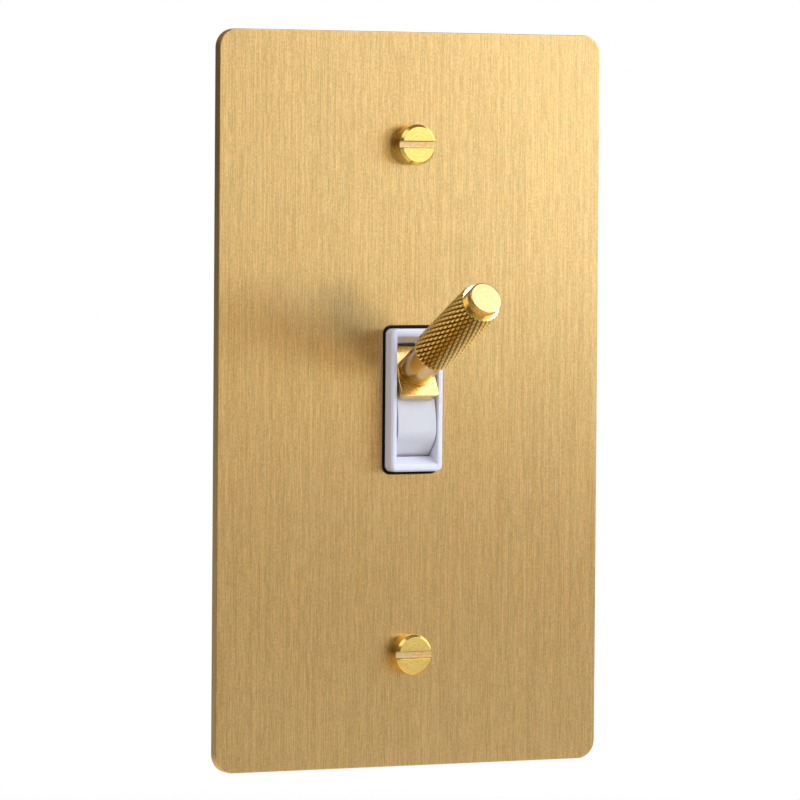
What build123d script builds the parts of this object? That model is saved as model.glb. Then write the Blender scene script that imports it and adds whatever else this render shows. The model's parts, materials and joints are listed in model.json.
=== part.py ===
from build123d import *
import math
import os

# A single toggle light switch: brass face plate, knurled brass lever on a rocking drum,
# and the mechanism housing behind the plate. Millimetres throughout.
# Frame: +Z up, +X to the right as seen from the room, -Y out of the wall into the room.
# The origin is at the centre of the gasket's back face, which lies on the wall (y = 0).

# Face plate and its two fixing screws
plate_width = 70.0
plate_height = 120.0
plate_thickness = 1.8
plate_corner = 3.1
plate_edge_break = 0.12
window_width = 10.2
window_height = 24.2
window_corner = 1.3
screw_pitch = 83.3
screw_hole_radius = 2.0
screw_head_radius = 3.3
screw_head_height = 2.3
screw_head_chamfer = 0.28
screw_slot_width = 1.2
screw_slot_depth = 0.6
screw_neck_radius = 1.6
screw_thread_radius = 1.75
screw_reach = 20.0

# Gasket between plate and wall, and the steel strap that lies in its pocket
gasket_width = 66.0
gasket_height = 116.0
gasket_corner = 2.2
gasket_sheet = 0.6
gasket_proud = 0.2
pocket_width = 46.0
pocket_height = 108.0
lip_recess = 0.1
lip_clearance = 0.02
rivet_room = 5.6
strap_thickness = 1.2
strap_width = 24.0
strap_length = 106.0
strap_corner = 1.5
ear_width = 44.0
ear_height = 12.0
strap_slot_length = 7.0
strap_window_gap = 0.55
ground_tab_depth = 9.0
tab_bend = 1.0
ground_tab_height = 7.4
ground_tab_z = -37.3
ground_screw_y = 4.3
retainer_size = 8.0
retainer_thickness = 0.8

# Switch cover with the bezel that stands through the plate, and the housing base
bezel_width = 9.5
bezel_height = 23.3
bezel_corner = 1.0
bezel_proud = 2.5
bezel_edge = 0.3
mouth_width = 7.4
mouth_height = 21.0
mouth_edge = 0.2
throat_height = 18.5
throat_depth = 2.5
housing_width = 33.0
housing_height = 66.0
housing_corner = 2.0
cover_depth = 10.0
cover_front_wall = 2.0
cover_side_wall = 1.6
cheek_width = 2.5
drum_box_height = 29.0
base_depth = 16.2
base_back_wall = 2.0
base_side_wall = 2.0
base_edge = 0.8
works_width = 23.0
works_height = 34.0
end_room_gap = 2.0
boss_size = 7.0
terminal_bay_depth = 3.0
terminal_bay_height = 16.0
terminal_bay_z = -6.0
terminal_bay_length = 13.0
rib_height = 30.0
rib_thickness = 1.85
rib_clearance = 0.15

# Rivets that hold strap, cover and base together
rivet_spacing = 56.0
rivet_radius = 1.8
rivet_head_radius = 2.6
rivet_head_height = 0.45

# Lever: its axis leaves the pivot at lever_tilt above the horizontal when the switch is up
lever_tilt = 27.3
pivot_behind_plate = 5.9
drum_radius = 11.7
drum_clearance = 0.35
drum_width = 7.0
drum_back = 0.8
crown_radius = 19.4
crown_apex = 9.0
crown_blend = 3.0
seat_width = 6.0
seat_height = 8.2
seat_depth = 1.2
hub_radius = 4.0
pin_radius = 1.5
running_clearance = 0.05
finger_reach = 9.0
finger_tip_radius = 1.4
finger_half_width = 1.0
finger_width = 4.0
insert_radius = 2.4
insert_bottom = 3.9
stud_radius = 1.5
stud_bottom = 3.3
stud_top = 14.8
foot_bottom = 9.1
foot_top = 10.5
foot_width = 6.9
foot_height = 9.2
foot_corner = 0.8
foot_edge = 0.2
neck_radius = 2.85
neck_chamfer = 0.3
grip_bottom = 17.4
grip_top = 35.6
grip_radius = 3.5
grip_chamfer = 0.25
core_radius = 2.0
core_top = 31.0
button_radius = 2.75
button_top = 37.45
button_edge = 0.2

# Contact carriage, contacts and terminals
slot_clearance = 0.12
fork_start = 11.5
fork_arm = 1.6
fork_width = 5.0
carriage_front = 14.9
carriage_back = 17.6
carriage_width = 10.0
carriage_height = 10.0
runner_back = 20.5
runner_width = 6.0
nose_reach = 1.4
nose_radius = 0.7
bridge_length = 18.0
bridge_thickness = 0.5
bridge_width = 2.4
bridge_below = 3.1
contact_size = 2.6
contact_height = 0.8
contact_spacing = 14.4
contact_gap = 0.1
terminal_thickness = 0.8
terminal_arm_width = 3.2
terminal_plate_thickness = 1.0
terminal_plate_length = 10.5
terminal_plate_height = 12.5
terminal_plate_z = -5.5
arm_end_x = 5.6
terminal_screw_y = 17.5
terminal_screw_z = -4.0
terminal_head_radius = 3.6
terminal_head_height = 2.2
terminal_screw_slot = 1.1
terminal_slot_depth = 1.0
terminal_tip_x = 12.0
ground_tip_x = 9.2
clamp_plate_size = 8.4
clamp_thickness = 1.0
leaf_thickness = 0.3
leaf_width = 5.0
leaf_bend = 0.9
leaf_foot_z = 12.0
leaf_bend_z = 10.0
leaf_ridge_z = 7.0
leaf_ridge_y = 21.5
leaf_valley_y = 22.3
leaf_crest_y = 20.9

# Planes across the wall, from front to back
strap_back_y = -gasket_proud
strap_front_y = strap_back_y - strap_thickness
plate_back_y = strap_front_y - gasket_sheet
plate_front_y = plate_back_y - plate_thickness
bezel_front_y = plate_front_y - bezel_proud
throat_y = bezel_front_y + throat_depth
cover_back_y = strap_back_y + cover_depth
base_back_y = cover_back_y + base_depth
works_back_y = base_back_y - base_back_wall
pivot_y = plate_back_y + pivot_behind_plate
cavity_radius = drum_radius + drum_clearance
thread_start_y = strap_back_y + retainer_thickness + 0.3
end_room_height = (housing_height - works_height) / 2 - end_room_gap - cover_side_wall
end_room_middle = (works_height + end_room_height) / 2 + end_room_gap
rib_spacing = runner_width + 2 * rib_clearance + rib_thickness
rib_front_y = carriage_back + 2 * rib_clearance
terminal_bay_y = (cover_back_y + base_back_y) / 2
bay_floor_x = housing_width / 2 - terminal_bay_depth
clamp_seat_x = bay_floor_x + terminal_plate_thickness

# Lever axes: along the lever, and across it towards the top of the foot
tilt_sin = math.sin(math.radians(lever_tilt))
tilt_cos = math.cos(math.radians(lever_tilt))
lever_axis = (0, -tilt_cos, tilt_sin)
pivot = (0, pivot_y, 0)
lever_plane = Plane(origin=pivot, x_dir=(1, 0, 0), z_dir=lever_axis)
drum_plane = Plane(origin=pivot, x_dir=lever_axis, z_dir=(-1, 0, 0))
lever_line = Axis(pivot, lever_axis)

# Heights of the contacts while the switch is up: the fixed ones lie just under the moving ones
carriage_z = -finger_reach * tilt_sin
fork_spacing = 2 * (finger_tip_radius + slot_clearance) + fork_arm
contact_y = (carriage_front + carriage_back) / 2
bridge_top_z = carriage_z - bridge_below
moving_face_z = bridge_top_z - bridge_thickness - contact_height
arm_top_z = moving_face_z - contact_gap - contact_height

# Middle line of the detent leaf, from its lower foot to its upper foot, as depth and height
valley_z = finger_reach * tilt_sin
leaf_half = [
    (leaf_crest_y, 0),
    (leaf_valley_y, valley_z),
    (leaf_ridge_y, leaf_ridge_z),
    (works_back_y - leaf_thickness, leaf_bend_z),
    (works_back_y - leaf_thickness, leaf_foot_z),
]
leaf_points = [(y, -z) for y, z in reversed(leaf_half[1:])] + leaf_half

os.makedirs("parts", exist_ok=True)


def facing(y):
    """Sketch plane at depth y that faces the room, so its extrusions grow towards the room."""
    return Plane.XZ.offset(-y)


def side_plane(x):
    """Sketch plane at x whose sketch axes are Y and Z."""
    return Plane.YZ.offset(x)


# Brushed brass face plate with its window and two screw holes
with BuildPart() as face_plate:
    with BuildSketch(facing(plate_back_y)):
        RectangleRounded(plate_width, plate_height, plate_corner)
        RectangleRounded(window_width, window_height, window_corner, mode=Mode.SUBTRACT)
        with GridLocations(0, screw_pitch, 1, 2):
            Circle(screw_hole_radius, mode=Mode.SUBTRACT)
    extrude(amount=plate_thickness)
    plate_front = face_plate.faces().sort_by(Axis.Y)[0]
    chamfer(plate_front.outer_wire().edges(), plate_edge_break)

# Black gasket: a sheet under the plate, a rim on the wall round the strap, a lip in the window
with BuildPart() as gasket:
    with BuildSketch(facing(0)):
        RectangleRounded(gasket_width, gasket_height, gasket_corner)
    extrude(amount=-plate_back_y)
    with BuildSketch(facing(0)):
        Rectangle(pocket_width, pocket_height)
    extrude(amount=-strap_front_y, mode=Mode.SUBTRACT)
    with BuildSketch(facing(plate_back_y)):
        RectangleRounded(
            window_width - 2 * lip_clearance, window_height - 2 * lip_clearance, window_corner
        )
    extrude(amount=plate_thickness - lip_recess)
    with BuildSketch(facing(0)):
        RectangleRounded(
            bezel_width + 2 * lip_clearance, bezel_height + 2 * lip_clearance, bezel_corner
        )
        with GridLocations(0, screw_pitch, 1, 2):
            Circle(screw_hole_radius)
        with GridLocations(0, rivet_spacing, 1, 2):
            Rectangle(rivet_room, rivet_room)
    extrude(amount=-plate_front_y, mode=Mode.SUBTRACT)

# Zinc plated steel strap: slotted ears for the plate screws and a bent tab for the earth screw
with BuildPart() as mounting_strap:
    with BuildSketch(facing(strap_back_y)) as strap_outline:
        Rectangle(strap_width, strap_length)
        with GridLocations(0, strap_length - ear_height, 1, 2):
            Rectangle(ear_width, ear_height)
        chamfer(strap_outline.vertices(), strap_corner)
        Rectangle(
            bezel_width + 2 * strap_window_gap,
            bezel_height + 2 * strap_window_gap,
            mode=Mode.SUBTRACT,
        )
        with GridLocations(0, screw_pitch, 1, 2):
            SlotOverall(strap_slot_length, 2 * screw_hole_radius, mode=Mode.SUBTRACT)
        with GridLocations(0, rivet_spacing, 1, 2):
            Circle(rivet_radius, mode=Mode.SUBTRACT)
    extrude(amount=strap_thickness)
    tab_x = -strap_width / 2
    tab_middle_y = strap_front_y + ground_tab_depth / 2
    with BuildSketch(side_plane(tab_x)):
        with Locations((tab_middle_y, ground_tab_z)):
            Rectangle(ground_tab_depth, ground_tab_height)
    extrude(amount=-strap_thickness)
    bend_corner = (tab_x - strap_thickness, strap_front_y, ground_tab_z)
    fillet(mounting_strap.edges().sort_by_distance(bend_corner)[0], tab_bend)
    with BuildSketch(side_plane(tab_x)):
        with Locations((ground_screw_y, ground_tab_z)):
            Circle(screw_thread_radius)
    extrude(amount=-strap_thickness, mode=Mode.SUBTRACT)

# White switch cover: bezel, drum cavity with bearing cheeks, and a shell closed at the front
with BuildPart() as switch_cover:
    with BuildSketch(facing(cover_back_y)):
        RectangleRounded(housing_width, housing_height, housing_corner)
    extrude(amount=cover_depth)
    with BuildSketch(facing(strap_back_y)):
        RectangleRounded(bezel_width, bezel_height, bezel_corner)
    extrude(amount=strap_back_y - bezel_front_y)
    chamfer(switch_cover.faces().sort_by(Axis.Y)[0].edges(), bezel_edge)
    with BuildSketch(facing(cover_back_y)):
        Rectangle(
            housing_width - 2 * cover_side_wall,
            housing_height - 2 * cover_side_wall,
        )
        Rectangle(mouth_width + 2 * cheek_width, drum_box_height, mode=Mode.SUBTRACT)
        with GridLocations(0, rivet_spacing, 1, 2):
            Rectangle(boss_size, boss_size, mode=Mode.SUBTRACT)
    extrude(amount=cover_depth - cover_front_wall, mode=Mode.SUBTRACT)
    with BuildSketch(side_plane(0)):
        with BuildLine():
            Polyline(
                (bezel_front_y, -mouth_height / 2),
                (throat_y, -throat_height / 2),
                (throat_y, throat_height / 2),
                (bezel_front_y, mouth_height / 2),
                close=True,
            )
        make_face()
        with Locations((pivot_y, 0)):
            Circle(cavity_radius)
    extrude(amount=mouth_width / 2, both=True, mode=Mode.SUBTRACT)
    chamfer(switch_cover.faces().sort_by(Axis.Y)[0].inner_wires()[0].edges(), mouth_edge)
    with BuildSketch(side_plane(0)):
        with Locations((pivot_y, 0)):
            Circle(pin_radius)
    extrude(amount=mouth_width / 2 + cheek_width, both=True, mode=Mode.SUBTRACT)
    with BuildSketch(facing(cover_back_y)):
        with GridLocations(0, rivet_spacing, 1, 2):
            Circle(rivet_radius)
    extrude(amount=cover_depth, mode=Mode.SUBTRACT)

# Dark housing base: works room, end rooms round the rivet bosses, terminal bays in both sides
with BuildPart() as housing_base:
    with BuildSketch(facing(base_back_y)):
        RectangleRounded(housing_width, housing_height, housing_corner)
    extrude(amount=base_depth)
    chamfer(housing_base.faces().sort_by(Axis.Y)[-1].edges(), base_edge)
    with BuildSketch(facing(works_back_y)):
        Rectangle(works_width, works_height)
        with GridLocations(0, 2 * end_room_middle, 1, 2):
            Rectangle(housing_width - 2 * cover_side_wall, end_room_height)
        with GridLocations(0, rivet_spacing, 1, 2):
            Rectangle(boss_size, boss_size, mode=Mode.SUBTRACT)
        with GridLocations(rib_spacing, 0, 2, 1):
            Rectangle(rib_thickness, rib_height, mode=Mode.SUBTRACT)
    extrude(amount=works_back_y - cover_back_y, mode=Mode.SUBTRACT)
    with BuildSketch(facing(rib_front_y)):
        Rectangle(works_width, works_height)
    extrude(amount=rib_front_y - cover_back_y, mode=Mode.SUBTRACT)
    for side in (-1, 1):
        with BuildSketch(side_plane(side * housing_width / 2)):
            with Locations((terminal_bay_y, terminal_bay_z)):
                Rectangle(terminal_bay_length, terminal_bay_height)
        extrude(amount=-side * terminal_bay_depth, mode=Mode.SUBTRACT)
        with BuildSketch(side_plane(side * works_width / 2)):
            with Locations((terminal_screw_y, terminal_screw_z)):
                Circle(screw_hole_radius)
            with Locations((contact_y, arm_top_z - terminal_thickness / 2)):
                Rectangle(
                    terminal_arm_width + 2 * running_clearance,
                    terminal_thickness + 2 * running_clearance,
                )
        extrude(amount=side * base_side_wall, mode=Mode.SUBTRACT)
    with BuildSketch(facing(base_back_y)):
        with GridLocations(0, rivet_spacing, 1, 2):
            Circle(rivet_radius)
    extrude(amount=base_depth, mode=Mode.SUBTRACT)

# Two slotted cheese head screws, captive because the neck under the head is slimmer
with BuildPart() as plate_screws:
    with BuildSketch(facing(plate_front_y)):
        with GridLocations(0, screw_pitch, 1, 2):
            Circle(screw_head_radius)
    extrude(amount=screw_head_height)
    chamfer(plate_screws.faces().group_by(Axis.Y)[0].edges(), screw_head_chamfer)
    with BuildSketch(facing(thread_start_y)):
        with GridLocations(0, screw_pitch, 1, 2):
            Circle(screw_neck_radius)
    extrude(amount=thread_start_y - plate_front_y)
    with BuildSketch(facing(screw_reach)):
        with GridLocations(0, screw_pitch, 1, 2):
            Circle(screw_thread_radius)
    extrude(amount=screw_reach - thread_start_y)
    with BuildSketch(facing(plate_front_y - screw_head_height + screw_slot_depth)):
        with GridLocations(0, screw_pitch, 1, 2):
            Rectangle(3 * screw_head_radius, screw_slot_width)
    extrude(amount=screw_slot_depth, mode=Mode.SUBTRACT)

# Square fibre retainers behind the strap ears that keep the screws from falling out
with BuildPart() as screw_retainers:
    with BuildSketch(facing(strap_back_y + retainer_thickness)):
        with GridLocations(0, screw_pitch, 1, 2):
            Rectangle(retainer_size, retainer_size)
            Circle(screw_neck_radius, mode=Mode.SUBTRACT)
    extrude(amount=retainer_thickness)

# Rivets through strap, cover and base
with BuildPart() as housing_rivets:
    for head_back_y in (base_back_y + rivet_head_height, strap_front_y):
        with BuildSketch(facing(head_back_y)):
            with GridLocations(0, rivet_spacing, 1, 2):
                Circle(rivet_head_radius)
        extrude(amount=rivet_head_height)
    with BuildSketch(facing(base_back_y)):
        with GridLocations(0, rivet_spacing, 1, 2):
            Circle(rivet_radius)
    extrude(amount=base_back_y - strap_front_y)

# Steel pivot pin held in the cover's cheeks
with BuildPart() as pivot_pin:
    with BuildSketch(side_plane(0)):
        with Locations((pivot_y, 0)):
            Circle(pin_radius)
    extrude(amount=mouth_width / 2 + cheek_width, both=True)

# White rocking drum: crowned front that closes the bezel, hub on the pin, finger at the back
with BuildPart() as toggle_drum:
    with BuildSketch(drum_plane) as drum_profile:
        Circle(drum_radius)
        with Locations((crown_apex - crown_radius, 0)):
            Circle(crown_radius, mode=Mode.INTERSECT)
        fillet(drum_profile.vertices().filter_by(lambda v: abs(v.Y) > hub_radius), crown_blend)
        with Locations((drum_back - drum_radius, 0)):
            Rectangle(2 * drum_radius, 3 * drum_radius, mode=Mode.SUBTRACT)
        Circle(hub_radius)
    extrude(amount=drum_width / 2, both=True)
    with BuildSketch(drum_plane):
        with Locations((-finger_reach / 2, 0)):
            Rectangle(finger_reach, 2 * finger_half_width)
        with Locations((-finger_reach, 0)):
            Circle(finger_tip_radius)
    extrude(amount=finger_width / 2, both=True)
    with BuildSketch(lever_plane.offset(foot_bottom)):
        Rectangle(seat_width, seat_height)
    extrude(amount=-seat_depth)
    with BuildSketch(drum_plane):
        Circle(pin_radius + running_clearance)
    extrude(amount=drum_width, both=True, mode=Mode.SUBTRACT)
    with BuildSketch(lever_plane.offset(foot_bottom)):
        Circle(insert_radius)
    extrude(amount=-(foot_bottom - insert_bottom), mode=Mode.SUBTRACT)
    with BuildSketch(lever_plane.offset(insert_bottom)):
        Circle(stud_radius)
    extrude(amount=-(insert_bottom - stud_bottom), mode=Mode.SUBTRACT)

# Brass insert moulded into the drum, and the stud that holds the lever on it
with BuildPart() as threaded_insert:
    with BuildSketch(lever_plane.offset(insert_bottom)):
        Circle(insert_radius)
        Circle(stud_radius, mode=Mode.SUBTRACT)
    extrude(amount=foot_bottom - insert_bottom)

with BuildPart() as lever_stud:
    with BuildSketch(lever_plane.offset(stud_bottom)):
        Circle(stud_radius)
    extrude(amount=stud_top - stud_bottom)

# Rectangular brass foot that sits on the drum
with BuildPart() as lever_foot:
    with BuildSketch(lever_plane.offset(foot_bottom)):
        RectangleRounded(foot_width, foot_height, foot_corner)
        Circle(stud_radius, mode=Mode.SUBTRACT)
    extrude(amount=foot_top - foot_bottom)
    chamfer(lever_foot.faces().sort_by(lever_line)[-1].outer_wire().edges(), foot_edge)

# Turned brass neck, with a slimmer core that carries the grip
with BuildPart() as lever_neck:
    with BuildSketch(drum_plane):
        with BuildLine():
            Polyline(
                (foot_top, stud_radius),
                (foot_top, neck_radius - neck_chamfer),
                (foot_top + neck_chamfer, neck_radius),
                (grip_bottom, neck_radius),
                (grip_bottom, core_radius),
                (core_top, core_radius),
                (core_top, 0),
                (stud_top, 0),
                (stud_top, stud_radius),
                close=True,
            )
        make_face()
    revolve(axis=lever_line)

# Grip sleeve: the knurled band ends in a plain chamfered rim
with BuildPart() as knurled_grip:
    with BuildSketch(drum_plane):
        with BuildLine():
            Polyline(
                (grip_bottom, core_radius),
                (grip_bottom, grip_radius - grip_chamfer),
                (grip_bottom + grip_chamfer, grip_radius),
                (grip_top - grip_chamfer, grip_radius),
                (grip_top, grip_radius - grip_chamfer),
                (grip_top, core_radius),
                close=True,
            )
        make_face()
    revolve(axis=lever_line)

# Turned end button with a spigot in the grip
with BuildPart() as end_button:
    with BuildSketch(drum_plane):
        with BuildLine():
            Polyline(
                (core_top, 0),
                (core_top, core_radius),
                (grip_top, core_radius),
                (grip_top, button_radius),
                (button_top - button_edge, button_radius),
                (button_top, button_radius - button_edge),
                (button_top, 0),
                close=True,
            )
        make_face()
    revolve(axis=lever_line)

# Moulded carriage: fork round the drum's finger, body, runner between the ribs, detent nose
with BuildPart() as contact_carriage:
    with BuildSketch(facing(carriage_front)):
        with Locations((0, carriage_z)):
            with GridLocations(0, fork_spacing, 1, 2):
                Rectangle(fork_width, fork_arm)
    extrude(amount=carriage_front - fork_start)
    with BuildSketch(facing(carriage_back)):
        with Locations((0, carriage_z)):
            Rectangle(carriage_width, carriage_height)
    extrude(amount=carriage_back - carriage_front)
    with BuildSketch(facing(runner_back)):
        with Locations((0, carriage_z)):
            Rectangle(runner_width, carriage_height)
    extrude(amount=runner_back - carriage_back)
    with BuildSketch(side_plane(0)):
        with Locations((runner_back + nose_reach - nose_radius, carriage_z)):
            Circle(nose_radius)
        with Locations((runner_back + (nose_reach - nose_radius) / 2, carriage_z)):
            Rectangle(nose_reach - nose_radius, 2 * nose_radius)
    extrude(amount=leaf_width / 2, both=True)
    with BuildSketch(side_plane(0)):
        with Locations((contact_y, bridge_top_z - bridge_thickness / 2)):
            Rectangle(bridge_width, bridge_thickness)
    extrude(amount=carriage_width, both=True, mode=Mode.SUBTRACT)

# Copper bridge through the carriage, with a silver contact under each end
with BuildPart() as contact_bridge:
    with BuildSketch(side_plane(0)):
        with Locations((contact_y, bridge_top_z - bridge_thickness / 2)):
            Rectangle(bridge_width, bridge_thickness)
    extrude(amount=bridge_length / 2, both=True)


def contact_pair(bottom_z):
    """Two square silver contacts, one on each side, that stand on the plane at this height."""
    with BuildPart() as pair:
        with BuildSketch(Plane.XY.offset(bottom_z)):
            with Locations((-contact_spacing / 2, contact_y), (contact_spacing / 2, contact_y)):
                Rectangle(contact_size, contact_size)
        extrude(amount=contact_height)
    return pair


def terminal(side):
    """Brass plate in the terminal bay on this side, with an arm in to the fixed contact."""
    with BuildPart() as plate:
        with BuildSketch(side_plane(side * bay_floor_x)):
            with Locations((terminal_bay_y, terminal_plate_z)):
                Rectangle(terminal_plate_length, terminal_plate_height)
            with Locations((terminal_screw_y, terminal_screw_z)):
                Circle(screw_thread_radius, mode=Mode.SUBTRACT)
        extrude(amount=side * terminal_plate_thickness)
        with BuildSketch(side_plane(side * bay_floor_x)):
            with Locations((contact_y, arm_top_z - terminal_thickness / 2)):
                Rectangle(terminal_arm_width, terminal_thickness)
        extrude(amount=-side * (bay_floor_x - arm_end_x))
    return plate


moving_contacts = contact_pair(moving_face_z)
fixed_contacts = contact_pair(arm_top_z)
line_terminal = terminal(-1)
load_terminal = terminal(1)

# Square clamp plates under the terminal screws
with BuildPart() as clamp_plates:
    for side in (-1, 1):
        with BuildSketch(side_plane(side * clamp_seat_x)):
            with Locations((terminal_screw_y, terminal_screw_z)):
                Rectangle(clamp_plate_size, clamp_plate_size)
                Circle(screw_hole_radius, mode=Mode.SUBTRACT)
        extrude(amount=side * clamp_thickness)


def side_screw(side, seat_x, tip_x, place):
    """Slotted binding head screw along X: the head sits on seat_x and the tip is at tip_x."""
    with BuildPart() as screw:
        with BuildSketch(side_plane(side * seat_x)):
            with Locations(place):
                Circle(terminal_head_radius)
        extrude(amount=side * terminal_head_height)
        with BuildSketch(side_plane(side * seat_x)):
            with Locations(place):
                Circle(screw_thread_radius)
        extrude(amount=-side * (seat_x - tip_x))
        with BuildSketch(side_plane(side * (seat_x + terminal_head_height))):
            with Locations(place):
                Rectangle(terminal_screw_slot, 3 * terminal_head_radius)
        extrude(amount=-side * terminal_slot_depth, mode=Mode.SUBTRACT)
    return screw


# Two terminal screws, and the earth screw in the strap's tab
terminal_seat_x = clamp_seat_x + clamp_thickness
terminal_place = (terminal_screw_y, terminal_screw_z)
with BuildPart() as terminal_screws:
    for side in (-1, 1):
        add(side_screw(side, terminal_seat_x, terminal_tip_x, terminal_place).part)

ground_seat_x = strap_width / 2 + strap_thickness
ground_place = (ground_screw_y, ground_tab_z)
ground_screw = side_screw(-1, ground_seat_x, ground_tip_x, ground_place)

# Spring steel leaf behind the carriage: its crest makes the switch snap from valley to valley
with BuildPart() as detent_leaf:
    with BuildSketch(side_plane(0)):
        with BuildLine():
            leaf_path = FilletPolyline(*leaf_points, radius=leaf_bend)
            offset(leaf_path, amount=leaf_thickness, side=Side.LEFT)
        make_face()
    extrude(amount=leaf_width / 2, both=True)

pieces = {
    "face_plate": face_plate,
    "gasket": gasket,
    "mounting_strap": mounting_strap,
    "switch_cover": switch_cover,
    "housing_base": housing_base,
    "plate_screws": plate_screws,
    "screw_retainers": screw_retainers,
    "housing_rivets": housing_rivets,
    "pivot_pin": pivot_pin,
    "toggle_drum": toggle_drum,
    "threaded_insert": threaded_insert,
    "lever_stud": lever_stud,
    "lever_foot": lever_foot,
    "lever_neck": lever_neck,
    "knurled_grip": knurled_grip,
    "end_button": end_button,
    "contact_carriage": contact_carriage,
    "contact_bridge": contact_bridge,
    "moving_contacts": moving_contacts,
    "fixed_contacts": fixed_contacts,
    "line_terminal": line_terminal,
    "load_terminal": load_terminal,
    "clamp_plates": clamp_plates,
    "terminal_screws": terminal_screws,
    "ground_screw": ground_screw,
    "detent_leaf": detent_leaf,
}
for name, piece in pieces.items():
    piece.part.label = name
    export_step(piece.part, f"parts/{name}.step")
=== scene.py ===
import json
import math

import bmesh
import bpy
from bpy.props import FloatProperty, FloatVectorProperty, IntProperty, PointerProperty
from mathutils import Euler, Matrix, Vector


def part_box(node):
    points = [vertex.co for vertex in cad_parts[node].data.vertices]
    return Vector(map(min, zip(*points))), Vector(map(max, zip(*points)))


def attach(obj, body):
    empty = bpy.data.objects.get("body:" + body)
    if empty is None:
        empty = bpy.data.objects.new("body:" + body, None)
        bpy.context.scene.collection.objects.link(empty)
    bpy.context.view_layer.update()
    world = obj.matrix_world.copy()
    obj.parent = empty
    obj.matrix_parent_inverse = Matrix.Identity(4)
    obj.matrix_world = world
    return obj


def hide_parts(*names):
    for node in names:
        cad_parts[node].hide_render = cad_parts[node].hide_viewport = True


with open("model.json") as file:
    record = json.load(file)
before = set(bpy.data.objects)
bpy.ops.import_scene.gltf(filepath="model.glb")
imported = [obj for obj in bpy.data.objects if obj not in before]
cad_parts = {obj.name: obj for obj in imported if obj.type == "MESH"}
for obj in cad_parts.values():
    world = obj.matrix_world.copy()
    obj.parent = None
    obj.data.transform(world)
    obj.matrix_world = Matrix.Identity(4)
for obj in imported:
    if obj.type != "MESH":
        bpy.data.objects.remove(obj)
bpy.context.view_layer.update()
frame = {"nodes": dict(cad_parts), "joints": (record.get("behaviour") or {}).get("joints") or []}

bl_info = {
    "name": "Toggle Light Switch",
    "version": (1, 0, 0),
    "blender": (4, 5, 0),
    "location": "View3D > Sidebar > Switch",
    "description": "Dresses the CAD frame of a brass toggle light switch",
    "category": "Add Mesh",
}

MM = 0.001
# The frame's bodies, and the mesh attributes that the materials read
WALL, LEVER, CARRIAGE = "wall_unit", "lever", "carriage"
OWN_PLACE, CUT_DEPTH = "own_place", "cut_depth"

# Sizes that the frame gives: plate, screws, and the line on which the lever turns
PLATE_LOW, PLATE_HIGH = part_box("face_plate")
SCREWS_LOW, SCREWS_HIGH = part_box("plate_screws")
JOINTS = {joint["name"]: joint for joint in frame["joints"]}
PIVOT = Vector(JOINTS["lever_pivot"]["pos_m"])
TILT = math.radians(JOINTS["lever_pivot"]["range_deg"][1] / 2)
HEAD_RADIUS = (SCREWS_HIGH.x - SCREWS_LOW.x) / 2
SCREW_PITCH = SCREWS_HIGH.z - SCREWS_LOW.z - 2 * HEAD_RADIUS

# Placing matrices: local Z becomes the lever's axis, or points to the room, or to one side
LEVER_AXIS = Vector((0, -math.cos(TILT), math.sin(TILT)))
LEVER_UP = Vector((0, math.sin(TILT), math.cos(TILT)))
LEVER_PLACE = Matrix.Translation(PIVOT) @ Matrix((
    (1, 0, 0, 0),
    (0, LEVER_UP.y, LEVER_AXIS.y, 0),
    (0, LEVER_UP.z, LEVER_AXIS.z, 0),
    (0, 0, 0, 1),
))
TO_ROOM = Euler((math.radians(90), 0, 0)).to_matrix().to_4x4()
TO_SIDE = Euler((0, math.radians(90), 0)).to_matrix().to_4x4()

# Lever, in millimetres: levels along its axis from the pivot, and radii
FOOT_LEVEL, NECK_LEVEL, STUD_TOP, GRIP_LEVEL = 9.1, 10.5, 14.8, 17.4
SPIGOT_TOP, GRIP_TOP, BUTTON_TOP = 31.0, 35.6, 37.45
STUD_RADIUS, SPIGOT_RADIUS, BUTTON_RADIUS, NECK_RADIUS = 1.5, 2.0, 2.75, 2.85
FOOT_WIDTH, FOOT_HEIGHT, FOOT_CORNER, FOOT_THICKNESS = 6.9, 9.2, 0.8, 1.4

# Screws, in millimetres: the usual 6-32 thread, the plate screws' slot, the binding heads
THREAD_RADIUS, THREAD_PITCH, THREAD_DEPTH = 1.75, 0.794, 0.35
SLOT_WIDTH, SLOT_DEPTH, HEAD_BEVEL = 1.2, 0.6, 0.42
BINDING_RADIUS, BINDING_HEIGHT = 3.6, 2.2

# Gasket's bead, in millimetres: the bezel that it stands round, its own corner and edge
BEZEL_WIDTH, BEZEL_HEIGHT, BEZEL_CORNER = 9.54, 23.34, 0.97
BEAD_CORNER, BEAD_EDGE = 1.25, 0.1

# Points round what is turned, along each knurl tooth both ways, and along each thread pitch
TURNED_STEPS, TOOTH_STEPS, THREAD_STEPS = 96, 12, 8

# Lamps: name, azimuth, elevation, distance, size, share of the key's radiance, tint
LAMPS = (
    ("key", 60.0, 19.0, 0.44, (0.25, 0.33), 1.80, (0.55, 0.71, 1.0)),
    ("front", 28.0, 30.0, 0.8, (0.3, 0.5), 0.50, (1.0, 0.92, 0.68)),
    ("broad", 35.0, 9.0, 1.2, (0.6, 0.9), 0.24, (1.0, 0.76, 0.38)),
    ("face", 28.0, 3.0, 1.0, (0.14, 0.14), 0.48, (0.80, 0.86, 1.0)),
    ("left", -52.0, 50.0, 0.8, (0.5, 0.5), 0.34, (1.0, 0.95, 1.0)),
    ("top", 40.0, 45.0, 0.28, (0.07, 0.07), 0.64, (0.56, 0.54, 1.0)),
)
WHITE = (1, 1, 1, 1)
SENSOR_WIDTH = 36.0
FLOOR_REACH, FLOOR_DEPTH = 3.0, 0.01


def length(name, description, default):
    """A length property in metres, shown in the scene's unit."""
    return FloatProperty(name=name, description=description, default=default, min=0.0,
                         precision=5, unit="LENGTH", subtype="DISTANCE")


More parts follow.
